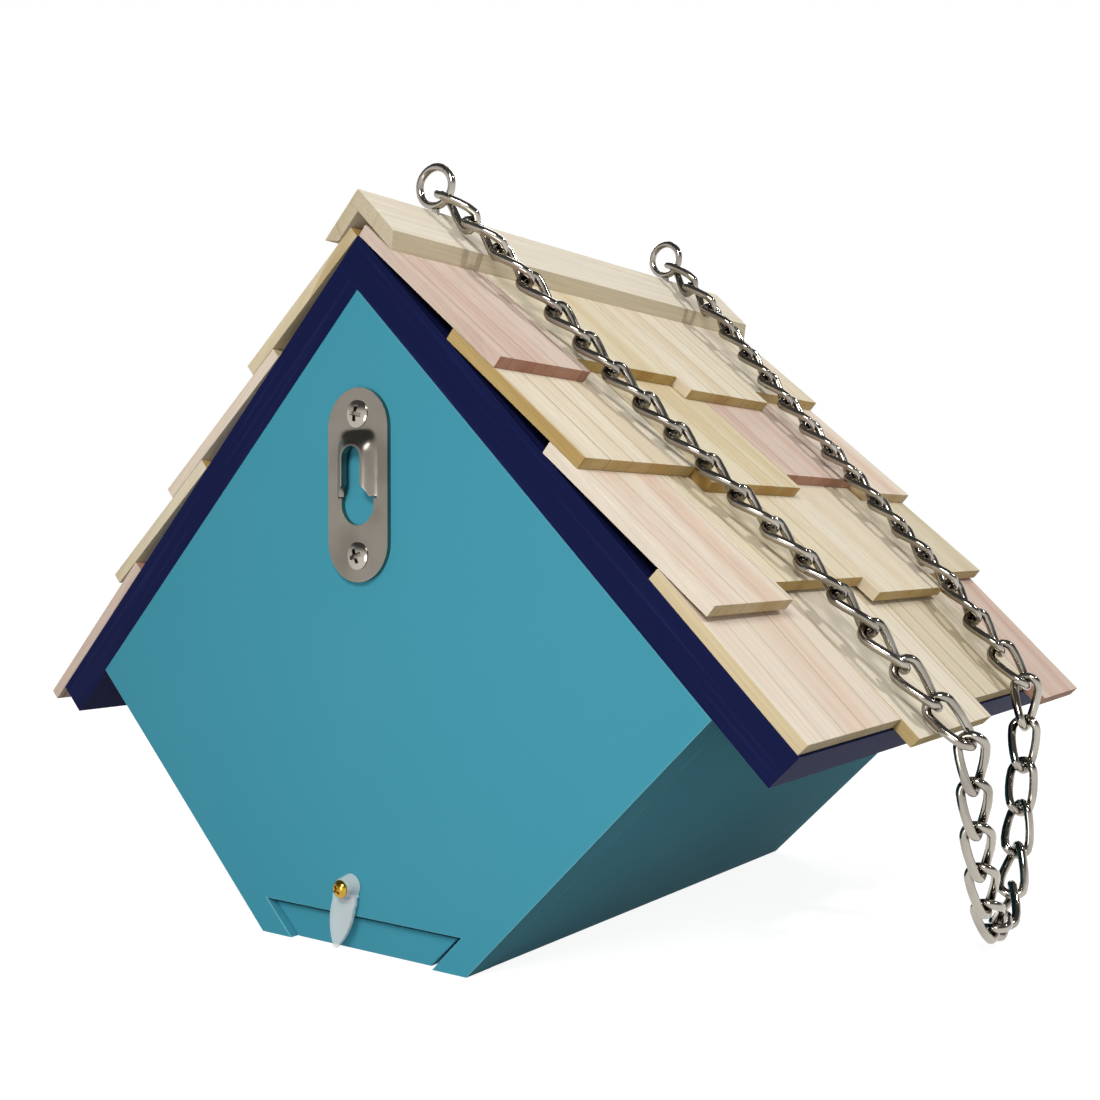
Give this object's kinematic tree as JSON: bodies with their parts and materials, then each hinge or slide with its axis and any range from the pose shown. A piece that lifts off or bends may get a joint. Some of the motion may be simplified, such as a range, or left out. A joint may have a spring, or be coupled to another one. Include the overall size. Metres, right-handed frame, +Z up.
{
  "type": "birdhouse",
  "caption": "Birdhouse built as a square box stood on one corner, with a shingled roof, a sliding floor held by a turn button, a keyhole hanger and a hanging chain.",
  "frame": {"origin": "middle of the flat base, on the underside of the sliding floor, half way from the back face to the front face", "axes": "+Z up, +Y toward the entrance, -Y toward the back with the hanger, +X to the right as seen from the back"},
  "size_m": [0.2456, 0.1783, 0.1895],
  "materials": {
    "teal_paint": "satin teal paint on wood",
    "navy_paint": "satin navy paint on wood",
    "shingle_wood": "bare sawn wood",
    "cap_wood": "bare planed wood",
    "chain_steel": "nickel-plated wire",
    "nickel_steel": "nickel-plated steel",
    "clear_plastic": "translucent white plastic",
    "brass": "polished brass"
  },
  "bodies": {
    "house": {"back_panel": "teal_paint", "eye_screws": "nickel_steel", "front_panel": "teal_paint", "hanger_screws": "nickel_steel", "keyhole_hanger": "nickel_steel", "left_roof_board": "navy_paint", "left_wall": "teal_paint", "ridge_cap_left": "cap_wood", "ridge_cap_right": "cap_wood", "right_roof_board": "navy_paint", "right_wall": "teal_paint", "shingle_left_1_1": "shingle_wood", "shingle_left_1_2": "shingle_wood", "shingle_left_1_3": "shingle_wood", "shingle_left_1_4": "shingle_wood", "shingle_left_2_1": "shingle_wood", "shingle_left_2_2": "shingle_wood", "shingle_left_2_3": "shingle_wood", "shingle_left_2_4": "shingle_wood", "shingle_left_3_1": "shingle_wood", "shingle_left_3_2": "shingle_wood", "shingle_left_3_3": "shingle_wood", "shingle_left_3_4": "shingle_wood", "shingle_left_4_1": "shingle_wood", "shingle_left_4_2": "shingle_wood", "shingle_left_4_3": "shingle_wood", "shingle_left_4_4": "shingle_wood", "shingle_right_1_1": "shingle_wood", "shingle_right_1_2": "shingle_wood", "shingle_right_1_3": "shingle_wood", "shingle_right_1_4": "shingle_wood", "shingle_right_2_1": "shingle_wood", "shingle_right_2_2": "shingle_wood", "shingle_right_2_3": "shingle_wood", "shingle_right_2_4": "shingle_wood", "shingle_right_3_1": "shingle_wood", "shingle_right_3_2": "shingle_wood", "shingle_right_3_3": "shingle_wood", "shingle_right_3_4": "shingle_wood", "shingle_right_4_1": "shingle_wood", "shingle_right_4_2": "shingle_wood", "shingle_right_4_3": "shingle_wood", "shingle_right_4_4": "shingle_wood", "sliding_floor": "teal_paint", "turn_button_screw": "brass"},
    "button": {"turn_button": "clear_plastic"},
    "chain_strands": {"chain_rear_strand": "chain_steel", "chain_front_strand": "chain_steel"},
    "hanging_loop": {"chain_loop": "chain_steel"}
  },
  "joints": [
    {"name": "button_turn", "type": "hinge", "parent": "house", "child": "button", "pos_m": [-0.002, -0.078, 0.0155], "axis": [0, -1, 0], "continuous": true},
    {"name": "chain_swing", "type": "hinge", "parent": "house", "child": "chain_strands", "pos_m": [0, 0, 0.18373], "axis": [0, -1, 0], "range_deg": [0, 270]},
    {"name": "loop_swing", "type": "hinge", "parent": "chain_strands", "child": "hanging_loop", "pos_m": [0.12451, -0.01826, 0.05182], "axis": [0.1025, -0.9874, -0.1207], "range_deg": [0, 90]}
  ],
  "couplings": [
    {"joint": "loop_swing", "follows": "chain_swing", "ratio": 0.33333}
  ]
}
